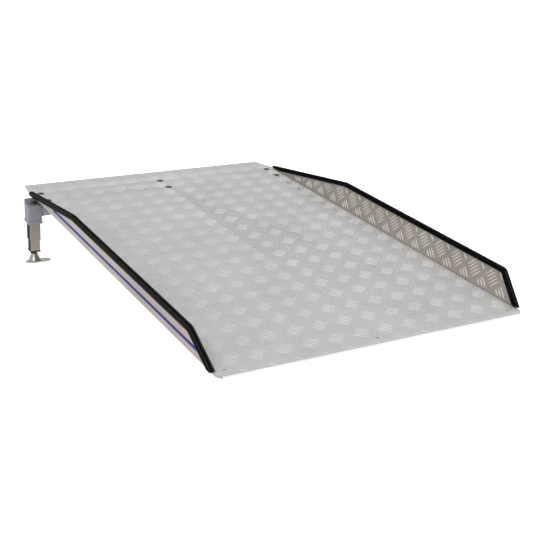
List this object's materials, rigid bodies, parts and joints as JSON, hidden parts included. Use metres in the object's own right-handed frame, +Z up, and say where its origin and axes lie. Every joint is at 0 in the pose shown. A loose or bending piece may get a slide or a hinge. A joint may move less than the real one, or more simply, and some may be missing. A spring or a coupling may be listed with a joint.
{
  "type": "folding loading ramp",
  "caption": "Short tread-plate loading ramp with flared, rubber-trimmed upstands, standing on a fold-away leg frame with sliding legs and swivel feet.",
  "frame": {"origin": "on the ground, at the middle of the bounding box's base", "axes": "+X across to the right seen from the low end, +Y towards the high end, +Z up"},
  "size_m": [0.692, 0.9872, 0.1673],
  "materials": {
    "tread_plate": "mill finish five-bar tread plate",
    "edge_rubber": "black ribbed edge trim",
    "blue_stripe": "plain blue line",
    "dark_screws": "dark countersunk screws",
    "cast_grey": "blue-grey powder coat",
    "nylon": "natural nylon",
    "plain_aluminium": "mill finish",
    "strip_rubber": "matt",
    "rivet_aluminium": "satin",
    "brass": "turned",
    "black_plastic": "moulded",
    "zinc_steel": "zinc plated",
    "leg_aluminium": "anodised",
    "dark_steel": "black oxide",
    "bright_steel": "stainless, polished"
  },
  "bodies": {
    "deck": {"deck_sheet": "tread_plate", "trim_left": "edge_rubber", "trim_right": "edge_rubber", "stripe_left": "blue_stripe", "stripe_right": "blue_stripe", "deck_screws": "dark_screws", "pivot_block_left": "cast_grey", "pivot_block_middle": "cast_grey", "pivot_block_right": "cast_grey", "pivot_bush_left": "nylon", "pivot_bush_middle": "nylon", "pivot_bush_right": "nylon", "rib_left": "plain_aluminium", "rib_right": "plain_aluminium", "low_edge_strip": "strip_rubber", "strip_rivets": "rivet_aluminium"},
    "lock_pad": {"fold_lock_pad": "brass"},
    "lock_knob": {"fold_lock_knob": "black_plastic", "fold_lock_stud": "zinc_steel"},
    "leg_frame": {"cross_tube": "leg_aluminium", "leg_bracket_left": "cast_grey", "leg_bracket_right": "cast_grey", "roll_pins": "dark_steel", "upper_leg_left": "leg_aluminium", "upper_leg_right": "leg_aluminium", "leg_insert_left": "plain_aluminium", "leg_insert_right": "plain_aluminium", "bracket_bolts": "dark_steel", "leg_lock_screw_left": "zinc_steel", "leg_lock_screw_right": "zinc_steel"},
    "lower_leg_left": {"lower_leg_left": "leg_aluminium", "leg_plug_left": "black_plastic", "spindle_nut_left": "zinc_steel"},
    "foot_ball_left": {"foot_ball_left": "zinc_steel"},
    "foot_spindle_left": {"foot_spindle_left": "zinc_steel"},
    "foot_left": {"foot_cup_left": "nylon", "foot_cone_left": "bright_steel", "foot_plate_left": "bright_steel"},
    "lower_leg_right": {"lower_leg_right": "leg_aluminium", "leg_plug_right": "black_plastic", "spindle_nut_right": "zinc_steel"},
    "foot_ball_right": {"foot_ball_right": "zinc_steel"},
    "foot_spindle_right": {"foot_spindle_right": "zinc_steel"},
    "foot_right": {"foot_cup_right": "nylon", "foot_cone_right": "bright_steel", "foot_plate_right": "bright_steel"}
  },
  "joints": [
    {"name": "leg_fold", "type": "hinge", "parent": "deck", "child": "leg_frame", "pos_m": [0, 0.40539, 0.12744], "axis": [-1, 0, 0], "range_deg": [0, 90]},
    {"name": "fold_lock", "type": "slide", "parent": "deck", "child": "lock_pad", "axis": [0, 0.163, -0.9866], "range_m": [0, 0.002]},
    {"name": "fold_lock_turn", "type": "hinge", "parent": "lock_pad", "child": "lock_knob", "pos_m": [0, 0.41109, 0.0929], "axis": [0, 0.163, -0.9866], "range_deg": [0, 600]},
    {"name": "leg_slide_left", "type": "slide", "parent": "leg_frame", "child": "lower_leg_left", "axis": [0, 0.163, -0.9866], "range_m": [-0.012, 0.028]},
    {"name": "foot_lift_left", "type": "slide", "parent": "lower_leg_left", "child": "foot_ball_left", "axis": [0, 0.163, -0.9866], "range_m": [0, 0.012]},
    {"name": "spindle_turn_left", "type": "hinge", "parent": "foot_ball_left", "child": "foot_spindle_left", "pos_m": [-0.324, 0.42446, 0.012], "axis": [0, 0.163, -0.9866], "range_deg": [0, 2900]},
    {"name": "foot_tilt_left", "type": "hinge", "parent": "foot_ball_left", "child": "foot_left", "pos_m": [-0.324, 0.42446, 0.012], "axis": [1, 0, 0], "range_deg": [-4.5, 23]},
    {"name": "leg_slide_right", "type": "slide", "parent": "leg_frame", "child": "lower_leg_right", "axis": [0, 0.163, -0.9866], "range_m": [-0.012, 0.028]},
    {"name": "foot_lift_right", "type": "slide", "parent": "lower_leg_right", "child": "foot_ball_right", "axis": [0, 0.163, -0.9866], "range_m": [0, 0.012]},
    {"name": "spindle_turn_right", "type": "hinge", "parent": "foot_ball_right", "child": "foot_spindle_right", "pos_m": [0.324, 0.42446, 0.012], "axis": [0, 0.163, -0.9866], "range_deg": [0, 2900]},
    {"name": "foot_tilt_right", "type": "hinge", "parent": "foot_ball_right", "child": "foot_right", "pos_m": [0.324, 0.42446, 0.012], "axis": [1, 0, 0], "range_deg": [-4.5, 23]}
  ],
  "couplings": [
    {"joint": "fold_lock_turn", "follows": "fold_lock", "rad_per_m": 5026.5},
    {"joint": "spindle_turn_left", "follows": "foot_lift_left", "rad_per_m": 4188.8},
    {"joint": "spindle_turn_right", "follows": "foot_lift_right", "rad_per_m": 4188.8}
  ]
}
